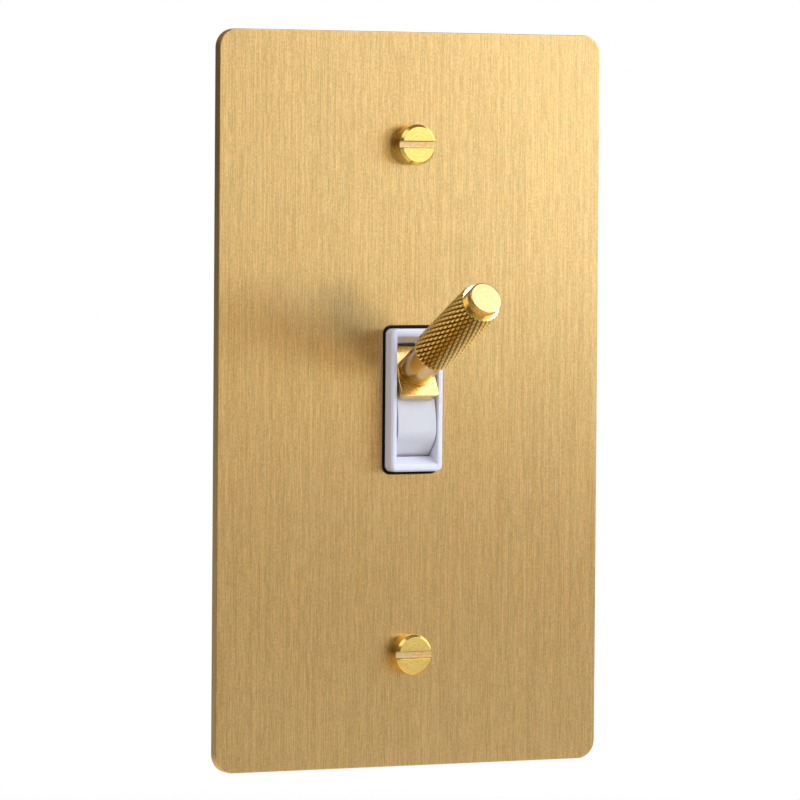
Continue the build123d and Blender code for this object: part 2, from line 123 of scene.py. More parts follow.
def colour(name, description, default):
    """A linear colour property."""
    return FloatVectorProperty(name=name, description=description, default=default, size=3,
                               min=0.0, max=1.0, subtype="COLOR")


def plain(name, description, default):
    """A number without a unit."""
    return FloatProperty(name=name, description=description, default=default)


class SWITCH_PG_plate(bpy.types.PropertyGroup):
    """Sizes and brass of the face plate and its two screws."""
    width: length("Width", "Width of the face plate", PLATE_HIGH.x - PLATE_LOW.x)
    height: length("Height", "Height of the face plate", PLATE_HIGH.z - PLATE_LOW.z)
    corner: length("Corner", "Radius of the plate's corners", 3.1 * MM)
    edge: length("Edge break", "Width of the rounded edge", 0.14 * MM)
    window_width: length("Window width", "Width of the window", 10.2 * MM)
    window_height: length("Window height", "Height of the window", 24.2 * MM)
    window_corner: length("Window corner", "Radius of the window's corners", 1.3 * MM)
    hole: length("Screw hole", "Radius of the screw holes", 2.0 * MM)
    screw_pitch: length("Screw pitch", "Distance between the two screws", SCREW_PITCH)
    brass: colour("Brushed brass", "Colour of the brushed face", (0.92, 0.61, 0.227))
    brass_deep: colour("Brushed brass, deep", "Colour in the brush lines", (0.64, 0.395, 0.12))
    screw_brass: colour("Screw brass", "Colour of the polished screws", (0.98, 0.79, 0.29))
    slot_brass: colour("Slot brass", "Colour of the milled floor of the slot", (0.90, 0.66, 0.47))
    roughness: plain("Roughness", "Roughness of the brushed face", 0.36)
    lacquer: plain("Lacquer", "Share of the clear lacquer on the brushed face", 0.8)


class SWITCH_PG_lever(bpy.types.PropertyGroup):
    """Sizes and brass of the lever."""
    grip_radius: length("Grip radius", "Radius over the knurl", 3.5 * MM)
    teeth: IntProperty(name="Teeth", description="Knurl teeth round the grip", default=28, min=8)
    knurl_pitch: length("Knurl pitch", "Length of one diamond along the grip", 2.56 * MM)
    knurl_depth: length("Knurl depth", "Depth of the knurl's grooves", 0.39 * MM)
    knurl_twist: plain("Knurl twist", "Turn of the rows of diamonds, in radians per metre", 19.75)
    brass: colour("Turned brass", "Colour of foot, neck and button", (0.93, 0.69, 0.28))
    # Painted highlight: the diamonds' brass is lighter than the lever's turned brass
    knurl_lit_brass: colour("Knurled brass", "Colour of the diamonds", (1.0, 0.87, 0.40))
    # Painted shade down in the knurl's grooves, not a colour of the brass
    groove_shade_brass: colour("Groove brass", "Colour down in the grooves", (0.27, 0.13, 0.005))


class SWITCH_PG_mouldings(bpy.types.PropertyGroup):
    """Colours of the plastic and rubber parts."""
    bezel: colour("Bezel", "White of the bezel", (0.84, 0.84, 0.95))
    drum: colour("Drum", "White of the rocking drum", (0.74, 0.73, 0.75))
    rubber: colour("Gasket", "Black rubber", (0.004, 0.004, 0.007))
    bead_width: length("Bead width", "Width of the gasket's bead", 10.1 * MM)
    bead_height: length("Bead height", "Height of the gasket's bead", 24.1 * MM)
    bead_rise: length("Bead rise", "Depth of the bead from its foot to its rim", 0.34 * MM)
    base: colour("Housing base", "Dark phenolic moulding", (0.035, 0.030, 0.028))
    carriage: colour("Carriage", "Moulding of the contact carriage", (0.10, 0.09, 0.08))
    fibre: colour("Fibre", "Vulcanised fibre of the screw retainers", (0.30, 0.08, 0.045))


class SWITCH_PG_works(bpy.types.PropertyGroup):
    """Colours of the metal parts behind the plate."""
    zinc: colour("Zinc", "Zinc plated steel", (0.62, 0.63, 0.64))
    steel: colour("Bright steel", "Pivot pin and stud", (0.66, 0.65, 0.63))
    spring: colour("Spring steel", "Detent leaf", (0.42, 0.44, 0.50))
    terminal: colour("Terminal brass", "Terminals and their screws", (0.80, 0.58, 0.25))
    copper: colour("Copper", "Contact bridge", (0.90, 0.42, 0.26))
    silver: colour("Silver", "Contacts", (0.92, 0.91, 0.88))
    green: colour("Earth screw", "Green finish of the earth screw", (0.03, 0.28, 0.09))


class SWITCH_PG_stage(bpy.types.PropertyGroup):
    """Camera, floor, lamps and surroundings."""
    camera: FloatVectorProperty(name="Camera", description="Place of the camera", size=3,
                                default=(-0.4476, -0.85432, 0.0353), subtype="TRANSLATION",
                                unit="LENGTH", precision=5)
    azimuth: plain("Azimuth", "Camera azimuth in degrees", -27.653)
    elevation: plain("Elevation", "Camera elevation in degrees", 2.107)
    roll: plain("Roll", "Camera roll in degrees", 0.421)
    lens: plain("Lens", "Focal length in millimetres on a 36 mm sensor", 264.84)
    floor: FloatProperty(name="Floor", description="Height of the floor", default=-0.1,
                         unit="LENGTH", subtype="DISTANCE")
    fill: plain("Fill", "Strength of the surroundings as a light", 0.6)
    key: plain("Key", "Radiance of the key lamp", 3.3)


# Node helpers

class Rule:
    """Adds nodes to a node tree and links them as they are written."""

    def __init__(self, tree):
        self.tree = tree

    def add(self, kind, inputs=None, **settings):
        """A new node with these settings and input values or links."""
        node = self.tree.nodes.new(kind)
        for name, value in settings.items():
            setattr(node, name, value)
        for key, value in (inputs or {}).items():
            self.put(node, key, value)
        return node

    def put(self, node, key, value):
        """Sets an input, or links it where the value is another node's output."""
        if isinstance(value, bpy.types.NodeSocket):
            self.tree.links.new(value, node.inputs[key])
        else:
            node.inputs[key].default_value = value

    def math(self, operation, *values):
        """The output of a Math node."""
        node = self.add("ShaderNodeMath", dict(enumerate(values)), operation=operation)
        return node.outputs[0]

    def plus(self, first, second):
        """The sum of two values."""
        return self.math("ADD", first, second)

    def minus(self, first, second):
        """The first value less the second."""
        return self.math("SUBTRACT", first, second)

    def times(self, first, second):
        """The product of two values."""
        return self.math("MULTIPLY", first, second)

    def separate(self, vector):
        """The X, Y and Z outputs of a Separate XYZ node."""
        return tuple(self.add("ShaderNodeSeparateXYZ", {0: vector}).outputs)

    def combine(self, x, y, z):
        """The output of a Combine XYZ node."""
        return self.add("ShaderNodeCombineXYZ", {0: x, 1: y, 2: z}).outputs[0]

    def blend(self, fraction, first, second):
        """The output of a colour Mix node."""
        colour_a, colour_b, colour_result = 6, 7, 2
        node = self.add("ShaderNodeMix", data_type="RGBA")
        self.put(node, "Factor", fraction)
        self.put(node, colour_a, first)
        self.put(node, colour_b, second)
        return node.outputs[colour_result]

    def spread(self, value, low, high, to_low=0.0, to_high=1.0):
        """The output of a Map Range node that clamps."""
        node = self.add("ShaderNodeMapRange", {
            "Value": value, "From Min": low, "From Max": high, "To Min": to_low, "To Max": to_high,
        })
        return node.outputs["Result"]

    def noise(self, vector, scale=1.0, detail=2.0, roughness=0.5):
        """The value of a noise texture."""
        node = self.add("ShaderNodeTexNoise", {
            "Vector": vector, "Scale": scale, "Detail": detail, "Roughness": roughness,
        })
        return node.outputs[0]


def rgba(value):
    """Three numbers as a colour with alpha."""
    return (*value, 1.0)


def darker(value, shades):
    """The colour with each channel times its own shade, or all of them times one shade."""
    if isinstance(shades, float):
        shades = (shades,) * 3
    return [channel * shade for channel, shade in zip(value, shades)]


def new_material(name):
    """An empty material and the Rule that fills it."""
    material = bpy.data.materials.new(name)
    material.use_nodes = True
    material.node_tree.nodes.clear()
    return material, Rule(material.node_tree)


def close_material(rule, shader):
    """Links the shader to the material's output."""
    output = rule.add("ShaderNodeOutputMaterial")
    rule.tree.links.new(shader.outputs[0], output.inputs["Surface"])


def object_place(rule, scale=(1, 1, 1)):
    """Object coordinates times a scale for each axis."""
    place = rule.add("ShaderNodeTexCoord").outputs["Object"]
    return rule.add("ShaderNodeMapping", {"Vector": place, "Scale": scale}).outputs[0]


def own_place(rule):
    """Each point's place before its piece was moved, for marks that follow the piece's axis."""
    return rule.add("ShaderNodeAttribute", attribute_name=OWN_PLACE).outputs["Vector"]


def turned_place(rule, fineness):
    """Coordinates that change across turning marks, and the place that they come from."""
    place = own_place(rule)
    x, y, height = rule.separate(place)
    across = rule.math("SQRT", rule.plus(rule.times(x, x), rule.times(y, y)))
    return rule.combine(rule.times(across, fineness), rule.times(height, fineness), 0.0), place


def brushed_brass(name, light, deep, roughness, lacquer):
    """Brass with fine vertical brush lines: short hairs, longer lines and a little grain."""
    material, rule = new_material(name)
    hairs = rule.noise(object_place(rule, (9500, 9500, 300)), detail=1.0)
    long_lines = rule.noise(object_place(rule, (8000, 8000, 60)), detail=1.0)
    grain = rule.noise(object_place(rule, (9000, 9000, 2600)), detail=1.0)
    cloud = rule.noise(object_place(rule, (60, 60, 30)), detail=3.0)
    lines = rule.plus(
        rule.times(hairs, 0.36), rule.plus(rule.times(long_lines, 0.28), rule.times(grain, 0.36))
    )
    tone = rule.spread(lines, 0.42, 0.58)
    base = rule.blend(tone, rgba(deep), rgba(light))
    rough = rule.spread(cloud, 0.3, 0.7, roughness - 0.02, roughness + 0.02)
    bump = rule.add("ShaderNodeBump", {"Strength": 0.5, "Distance": 0.02 * MM, "Height": lines})
    tangent = rule.add("ShaderNodeTangent", direction_type="RADIAL", axis="Z")
    shader = rule.add("ShaderNodeBsdfPrincipled", {
        "Base Color": base, "Metallic": 1.0, "Roughness": rough, "Anisotropic": 0.8,
        "Normal": bump.outputs[0], "Tangent": tangent.outputs[0],
        "Coat Weight": lacquer, "Coat Roughness": 0.36, "Coat Normal": bump.outputs[0],
    })
    close_material(rule, shader)
    return material


def milled_slot(rule, place, base, rough, deep, milled, half_width, level):
    """Colour and roughness with a slot's milled floor, scored along X, and with painted shade that
    darkens it near its walls.
    """
    _, across, height = rule.separate(place)
    side = rule.math("ABSOLUTE", across)
    floor = rule.times(
        rule.math("LESS_THAN", rule.math("ABSOLUTE", rule.minus(height, level)), 0.08 * MM),
        rule.math("LESS_THAN", side, half_width + 0.01 * MM),
    )
    scores = rule.noise(rule.add("ShaderNodeMapping", {
        "Vector": place, "Scale": (900, 6000, 900),
    }).outputs[0])
    raw = rule.blend(rule.spread(scores, 0.35, 0.65), rgba(deep), rgba(milled))
    # Painted shade: the milled floor darkens near both walls of the slot, broken up by the score
    # marks
    wall = rule.spread(side, half_width - 0.22 * MM, half_width)
    painted_wall_shade = rule.spread(rule.times(wall, scores), 0.2, 0.4)
    raw = rule.blend(painted_wall_shade, raw, rgba(darker(deep, 0.3)))
    return rule.blend(floor, base, raw), rule.plus(rough, rule.times(floor, 0.25))


def turned_metal(name, light, shades, roughness, fineness=9000.0, depth=0.012 * MM, handled=0.4,
                 lacquer=0.0, slot=None):
    """Metal with the marks that a lathe leaves, and a little wear from handling."""
    material, rule = new_material(name)
    deep = darker(light, shades)
    across, place = turned_place(rule, fineness)
    marks = rule.noise(across)
    cloud = rule.noise(place, scale=2200.0, detail=3.0, roughness=0.6)
    tone = rule.spread(
        rule.plus(rule.times(marks, 1 - handled), rule.times(cloud, handled)), 0.35, 0.65
    )
    base = rule.blend(tone, rgba(deep), rgba(light))
    rough = rule.spread(cloud, 0.3, 0.7, roughness * 0.8, roughness * 1.25)
    if slot:
        base, rough = milled_slot(rule, place, base, rough, deep, *slot)
    bump = rule.add("ShaderNodeBump", {"Strength": 0.6, "Distance": depth, "Height": marks})
    shader = rule.add("ShaderNodeBsdfPrincipled", {
        "Base Color": base, "Metallic": 1.0, "Roughness": rough, "Normal": bump.outputs[0],
        "Coat Weight": lacquer, "Coat Roughness": 0.22,
    })
    close_material(rule, shader)
    return material


def rolled_metal(name, light, shade, roughness):
    """Sheet or wire metal with a mottled surface."""
    material, rule = new_material(name)
    cloud = rule.noise(object_place(rule, (700, 700, 700)), detail=4.0, roughness=0.65)
    base = rule.blend(rule.spread(cloud, 0.35, 0.65), rgba(darker(light, shade)), rgba(light))
    rough = rule.spread(cloud, 0.3, 0.7, roughness * 0.85, roughness * 1.2)
    bump = rule.add("ShaderNodeBump", {"Strength": 0.5, "Distance": 0.01 * MM, "Height": cloud})
    shader = rule.add("ShaderNodeBsdfPrincipled", {
        "Base Color": base, "Metallic": 1.0, "Roughness": rough, "Normal": bump.outputs[0],
    })
    close_material(rule, shader)
    return material


def moulded_plastic(name, tint, roughness, speckle=0.04, specular=0.5):
    """Moulded plastic or rubber: a fine skin texture and very slight unevenness."""
    material, rule = new_material(name)
    skin = rule.noise(object_place(rule), scale=5200.0)
    cloud = rule.noise(object_place(rule), scale=240.0, detail=3.0)
    base = rule.blend(rule.spread(cloud, 0.3, 0.7), rgba(darker(tint, 1 - speckle)), rgba(tint))
    rough = rule.spread(skin, 0.3, 0.7, roughness * 0.9, roughness * 1.1)
    bump = rule.add("ShaderNodeBump", {"Strength": 0.4, "Distance": 0.01 * MM, "Height": skin})
    shader = rule.add("ShaderNodeBsdfPrincipled", {
        "Base Color": base, "Roughness": rough, "Specular IOR Level": specular,
        "Normal": bump.outputs[0],
    })
    close_material(rule, shader)
    return material


def knurled_brass(name, tip, groove_shade):
    """Brass with painted light: a painted highlight makes the diamonds lighter than the lever's
    other brass, and painted shade darkens it down in the grooves by the cut depth.
    """
    material, rule = new_material(name)
    cut = rule.add("ShaderNodeAttribute", attribute_name=CUT_DEPTH).outputs["Fac"]
    cloud = rule.noise(own_place(rule), scale=2500.0, detail=3.0)
    # Painted light: lighter on the diamond tips and darker down into the grooves, following the cut
    # depth
    base = rule.blend(rule.spread(cut, 0.3, 0.85), rgba(tip), rgba(groove_shade))
    rough = rule.spread(cloud, 0.3, 0.7, 0.1, 0.17)
    shader = rule.add("ShaderNodeBsdfPrincipled", {
        "Base Color": base, "Metallic": 1.0, "Roughness": rough,
    })
    close_material(rule, shader)
    return material


# Mesh helpers

def softened(points, steps=4):
    """A profile of (height, radius, rounding) in millimetres with its corners rounded off."""
    profile = []
    for number, (height, radius, rounding) in enumerate(points):
        corner = Vector((height, radius)) * MM
        before = Vector(points[number - 1][:2]) * MM
        after = Vector(points[(number + 1) % len(points)][:2]) * MM
        if not rounding:
            profile.append(corner)
            continue
        back = (before - corner).normalized()
        on = (after - corner).normalized()
        half = back.angle(on) / 2
        reach = rounding * MM / math.tan(half)
        middle = corner + (back + on).normalized() * rounding * MM / math.sin(half)
        start = corner + back * reach - middle
        end = corner + on * reach - middle
        sweep = start.angle_signed(end)
        for step in range(steps + 1):
            turn = Matrix.Rotation(-sweep * step / steps, 2)
            profile.append(middle + turn @ start)
    return profile


def lathe(profile, around):
    """Mesh turned about Z from (height, radius) pairs; a zero radius at both ends closes it."""
    shape = bmesh.new()
    rings = []
    for height, radius in profile:
        if radius < 1e-7:
            rings.append([shape.verts.new((0, 0, height))] * around)
            continue
        angles = [2 * math.pi * step / around for step in range(around)]
        rings.append([
            shape.verts.new((radius * math.cos(angle), radius * math.sin(angle), height))
            for angle in angles
        ])
    closed = rings[0][0] is not rings[0][1]
    pairs = list(zip(rings, rings[1:])) + ([(rings[-1], rings[0])] if closed else [])
    for low, high in pairs:
        for step in range(around):
            after = (step + 1) % around
            corners = [low[step], low[after], high[after], high[step]]
            unique = list(dict.fromkeys(corners))
            if len(unique) > 2:
                shape.faces.new(unique)
    bmesh.ops.recalc_face_normals(shape, faces=shape.faces)
    return finished_mesh(shape)


def finished_mesh(shape):
    """The bmesh as a mesh, which it frees."""
    mesh = bpy.data.meshes.new("shape")
    shape.to_mesh(mesh)
    shape.free()
    return mesh


def remember_place(mesh):
    """Stores each point's place before the mesh is moved, for marks that follow its axis."""
    layer = mesh.attributes.new(OWN_PLACE, "FLOAT_VECTOR", "POINT")
    for value, point in zip(layer.data, mesh.vertices):
        value.vector = point.co


def rounded_outline(width, height, corner, steps=12):
    """Points of a rectangle with round corners, anticlockwise."""
    points = []
    for number, (side, level) in enumerate(((1, 1), (-1, 1), (-1, -1), (1, -1))):
        middle = Vector((side * (width / 2 - corner), level * (height / 2 - corner)))
        for step in range(steps + 1):
            angle = math.pi / 2 * (number + step / steps)
            points.append(middle + corner * Vector((math.cos(angle), math.sin(angle))))
    return points


def round_outline(radius, centre=(0, 0)):
    """Points of a circle, anticlockwise."""
    steps = 48
    angles = [2 * math.pi * step / steps for step in range(steps)]
    return [
        Vector(centre) + radius * Vector((math.cos(angle), math.sin(angle))) for angle in angles
    ]


def sheet_metal(outline, openings, thickness, edge):
    """Flat part from Z = 0 to its thickness, with openings and softly rounded edges."""
    curve = bpy.data.curves.new("outline", "CURVE")
    curve.dimensions = "2D"
    curve.fill_mode = "BOTH"
    curve.extrude = thickness / 2 - edge
    curve.bevel_depth = edge
    curve.bevel_resolution = 3
    curve.offset = -edge
    for points in (outline, *openings):
        spline = curve.splines.new("POLY")
        spline.points.add(len(points) - 1)
        for target, point in zip(spline.points, points):
            target.co = (point.x, point.y, 0, 1)
        spline.use_cyclic_u = True
    holder = bpy.data.objects.new("outline", curve)
    bpy.context.scene.collection.objects.link(holder)
    bpy.context.view_layer.update()
    mesh = bpy.data.meshes.new_from_object(holder.evaluated_get(
        bpy.context.evaluated_depsgraph_get()
    ))
    bpy.data.objects.remove(holder)
    bpy.data.curves.remove(curve)
    shape = bmesh.new()
    shape.from_mesh(mesh)
    bmesh.ops.remove_doubles(shape, verts=shape.verts, dist=0.001 * MM)
    bmesh.ops.recalc_face_normals(shape, faces=shape.faces)
    bmesh.ops.translate(shape, verts=shape.verts, vec=(0, 0, thickness / 2))
    bpy.data.meshes.remove(mesh)
    return finished_mesh(shape)


def block(low, high):
    """A plain block with these two corners, for a cutter or the floor."""
    shape = bmesh.new()
    bmesh.ops.create_cube(shape, size=1.0)
    middle = (Vector(low) + Vector(high)) / 2
    size = Vector(high) - Vector(low)
    for point in shape.verts:
        point.co = Vector(a * b for a, b in zip(point.co, size)) + middle
    return finished_mesh(shape)


def settled(piece):
    """Turns what the modifiers make into the piece's own plain mesh."""
    bpy.context.view_layer.update()
    view = piece.evaluated_get(bpy.context.evaluated_depsgraph_get())
    mesh = bpy.data.meshes.new_from_object(view)
    piece.modifiers.clear()
    piece.data = mesh
    return piece


def loose_object(name, mesh):
    """A linked object at the origin."""
    piece = bpy.data.objects.new(name, mesh)
    bpy.context.scene.collection.objects.link(piece)
    return piece


def carved(mesh, cutter):
    """The mesh with the cutter taken away from it."""
    piece = loose_object("carved", mesh)
    tool = loose_object("cutter", cutter)
    step = piece.modifiers.new("carve", "BOOLEAN")
    step.operation = "DIFFERENCE"
    step.object = tool
    step.solver = "EXACT"
    settled(piece)
    mesh = piece.data
    for extra in (piece, tool):
        bpy.data.objects.remove(extra)
    return mesh


def edged(mesh, width, angle=40.0, segments=2):
    """The mesh with its sharp edges rounded."""
    piece = loose_object("edged", mesh)
    step = piece.modifiers.new("edges", "BEVEL")
    step.width = width
    step.segments = segments
    step.limit_method = "ANGLE"
    step.angle_limit = math.radians(angle)
    step.use_clamp_overlap = False
    settled(piece)
    mesh = piece.data
    bpy.data.objects.remove(piece)
    return mesh


def moved(mesh, place):
    """The mesh put in its place."""
    mesh.transform(place)
    return mesh


def joined(meshes):
    """Several meshes as one."""
    holders = [loose_object("part", mesh) for mesh in meshes]
    with bpy.context.temp_override(active_object=holders[0], selected_editable_objects=holders):
        bpy.ops.object.join()
    mesh = holders[0].data
    bpy.data.objects.remove(holders[0])
    return mesh


def flattened(mesh):
    """A copy of the mesh with its loose points merged and its flat faces made whole."""
    shape = bmesh.new()
    shape.from_mesh(mesh)
    bmesh.ops.remove_doubles(shape, verts=shape.verts, dist=0.002 * MM)
    bmesh.ops.dissolve_limit(
        shape, angle_limit=math.radians(0.6), verts=shape.verts, edges=shape.edges
    )
    return finished_mesh(shape)


def frame_copy(node):
    """A tidy copy of the CAD node's mesh."""
    return flattened(frame["nodes"][node].data)


def place_piece(name, mesh, body, node, material, crease=32.0):
    """Makes the finished piece, shades it and ties it to the frame."""
    piece = loose_object(name, mesh)
    mesh.name = name
    mesh.materials.clear()
    mesh.materials.append(material)
    mesh.shade_smooth()
    mesh.set_sharp_from_angle(angle=math.radians(crease))
    # The modifier weighs faces by area and ignores very small ones, so it works in millimetres
    mesh.transform(Matrix.Scale(1 / MM, 4))
    step = piece.modifiers.new("flat_faces", "WEIGHTED_NORMAL")
    step.keep_sharp = True
    settled(piece)
    piece.data.transform(Matrix.Scale(MM, 4))
    piece.data.name = name
    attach(piece, body)
    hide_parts(node)


def dress_copies(rows):
    """Places copies of CAD nodes with rounded edges: piece, node, body, slot, finish, edge."""
    for name, node, body, slot, finish, edge in rows:
        mesh = edged(frame_copy(node), edge * MM, angle=50.0)
        place_piece(name, mesh, body, node, finish)


# Node groups for what repeats or follows a rule

def rule_tree(name, sizes):
    """An empty geometry tree with named inputs, and its Rule."""
    tree = bpy.data.node_groups.new(name, "GeometryNodeTree")
    tree.interface.new_socket("Geometry", in_out="INPUT", socket_type="NodeSocketGeometry")
    tree.interface.new_socket("Geometry", in_out="OUTPUT", socket_type="NodeSocketGeometry")
    for label in sizes:
        tree.interface.new_socket(label, in_out="INPUT", socket_type="NodeSocketFloat")
    tree.interface.new_socket("Finish", in_out="INPUT", socket_type="NodeSocketMaterial")
    rule = Rule(tree)
    return tree, rule, rule.add("NodeGroupInput")


def close_tree(rule, entry, geometry):
    """Ends the tree in Realize Instances and Set Material."""
    whole = rule.add("GeometryNodeRealizeInstances", {0: geometry})
    dressed = rule.add("GeometryNodeSetMaterial", {
        "Geometry": whole.outputs[0], "Material": entry.outputs["Finish"],
    })
    leave = rule.add("NodeGroupOutput")
    rule.put(leave, "Geometry", dressed.outputs[0])


def relief_tree(name, cut_rule):
    """A tree that cuts a turned blank about Z back to the radius that cut_rule gives."""
    sizes = ("Radius", "Depth", "Pitch", "Starts", "Twist", "From", "To")
    tree, rule, entry = rule_tree(name, sizes)
    values = {label: entry.outputs[label] for label in sizes}
    x, y, level = rule.separate(rule.add("GeometryNodeInputPosition").outputs[0])
    around = rule.math("DIVIDE", rule.math("ARCTAN2", y, x), 2 * math.pi)
    height = cut_rule(rule, values, around, level)
    flat = rule.combine(x, y, 0.0)
    radius = rule.add("ShaderNodeVectorMath", {0: flat}, operation="LENGTH").outputs["Value"]
    low = rule.minus(values["Radius"], rule.times(values["Depth"], rule.minus(1.0, height)))
    ratio = rule.math("DIVIDE", low, rule.math("MAXIMUM", radius, 1e-6))
    ratio = rule.math("MINIMUM", 1.0, ratio)
    inside = rule.times(
        rule.math("GREATER_THAN", level, values["From"]),
        rule.math("LESS_THAN", level, values["To"]),
    )
    ratio = rule.plus(1.0, rule.times(inside, rule.minus(ratio, 1.0)))
    cut = rule.combine(rule.times(x, ratio), rule.times(y, ratio), level)
    turned = rule.add("ShaderNodeVectorRotate", {
        "Vector": cut, "Angle": rule.times(level, values["Twist"]),
    }, rotation_type="Z_AXIS").outputs[0]
    gone = rule.times(radius, rule.minus(1.0, ratio))
    share = rule.math("DIVIDE", gone, values["Depth"])
    marked = rule.add("GeometryNodeStoreNamedAttribute", {
        "Geometry": entry.outputs["Geometry"], "Name": CUT_DEPTH, "Value": share,
    }, data_type="FLOAT", domain="POINT")
    shaped = rule.add("GeometryNodeSetPosition", {
        "Geometry": marked.outputs[0], "Position": turned,
    })
    close_tree(rule, entry, shaped.outputs[0])
    return tree


def zigzag(rule, phase):
    """1 at each whole number of the phase, 0 halfway between."""
    return rule.math("ABSOLUTE", rule.minus(rule.times(rule.math("FRACT", phase), 2.0), 1.0))


def knurl_rule(rule, values, around, height):
    """Crossed grooves: 1 on the tip of a diamond, 0 down in a groove."""
    turns = rule.times(around, values["Starts"])
    rise = rule.math("DIVIDE", height, values["Pitch"])
    grooves = [zigzag(rule, rule.math(way, turns, rise)) for way in ("ADD", "SUBTRACT")]
    ridge = rule.minus(1.0, rule.math("MAXIMUM", *grooves))
    return rule.math("MINIMUM", 1.0, rule.times(ridge, 1.15))


def thread_rule(rule, values, around, height):
    """One groove that climbs a pitch each turn."""
    rise = rule.math("DIVIDE", height, values["Pitch"])
    ridge = zigzag(rule, rule.minus(rise, rule.times(around, values["Starts"])))
    return rule.math("MINIMUM", 1.0, rule.times(ridge, 1.25))


def row_tree(name):
    """A tree that sets copies of a piece in a row, each turned further about Z."""
    sizes = ("Count", "Start X", "Start Y", "Start Z", "Step X", "Step Y", "Step Z", "Turn")
    tree, rule, entry = rule_tree(name, sizes)
    start, step = (
        rule.combine(*(entry.outputs[f"{label} {axis}"] for axis in "XYZ"))
        for label in ("Start", "Step")
    )
    line = rule.add("GeometryNodeMeshLine", {
        "Count": entry.outputs["Count"], "Start Location": start, "Offset": step,
    })
    number = rule.add("GeometryNodeInputIndex").outputs[0]
    turn = rule.combine(0.0, 0.0, rule.times(number, entry.outputs["Turn"]))
    copies = rule.add("GeometryNodeInstanceOnPoints", {
        "Points": line.outputs[0], "Instance": entry.outputs["Geometry"],
        "Rotation": turn,
    })
    close_tree(rule, entry, copies.outputs[0])
    return tree


def tree_named(name):
    """One of the node groups, made when it is first asked for."""
    makers = {
        "diamond_knurl": lambda: relief_tree("diamond_knurl", knurl_rule),
        "screw_thread": lambda: relief_tree("screw_thread", thread_rule),
        "piece_row": lambda: row_tree("piece_row"),
    }
    return bpy.data.node_groups.get(name) or makers[name]()


def follow(mesh, tree_name, finish, sizes):
    """The mesh after one of the node groups, with its named inputs set."""
    tree = tree_named(tree_name)
    piece = loose_object("follow", mesh)
    step = piece.modifiers.new(tree_name, "NODES")
    step.node_group = tree
    for socket in tree.interface.items_tree:
        if socket.in_out == "INPUT" and socket.name in sizes:
            step[socket.identifier] = float(sizes[socket.name])
        if socket.name == "Finish":
            step[socket.identifier] = finish
    settled(piece)
    mesh = piece.data
    bpy.data.objects.remove(piece)
    return mesh


def in_pair(mesh, finish, start, step, turn=0.0):
    """Two copies of the mesh, a step apart, the second one turned about Z."""
    sizes = {"Count": 2, "Turn": turn}
    for axis, first, further in zip("XYZ", start, step):
        sizes[f"Start {axis}"] = first
        sizes[f"Step {axis}"] = further
    return follow(mesh, "piece_row", finish, sizes)


# The stage

def direction(azimuth, elevation):
    """From the object towards this azimuth and elevation, given in degrees."""
    side, rise = math.radians(azimuth), math.radians(elevation)
    return Vector((
        math.sin(side) * math.cos(rise), -math.cos(side) * math.cos(rise), math.sin(rise)
    ))


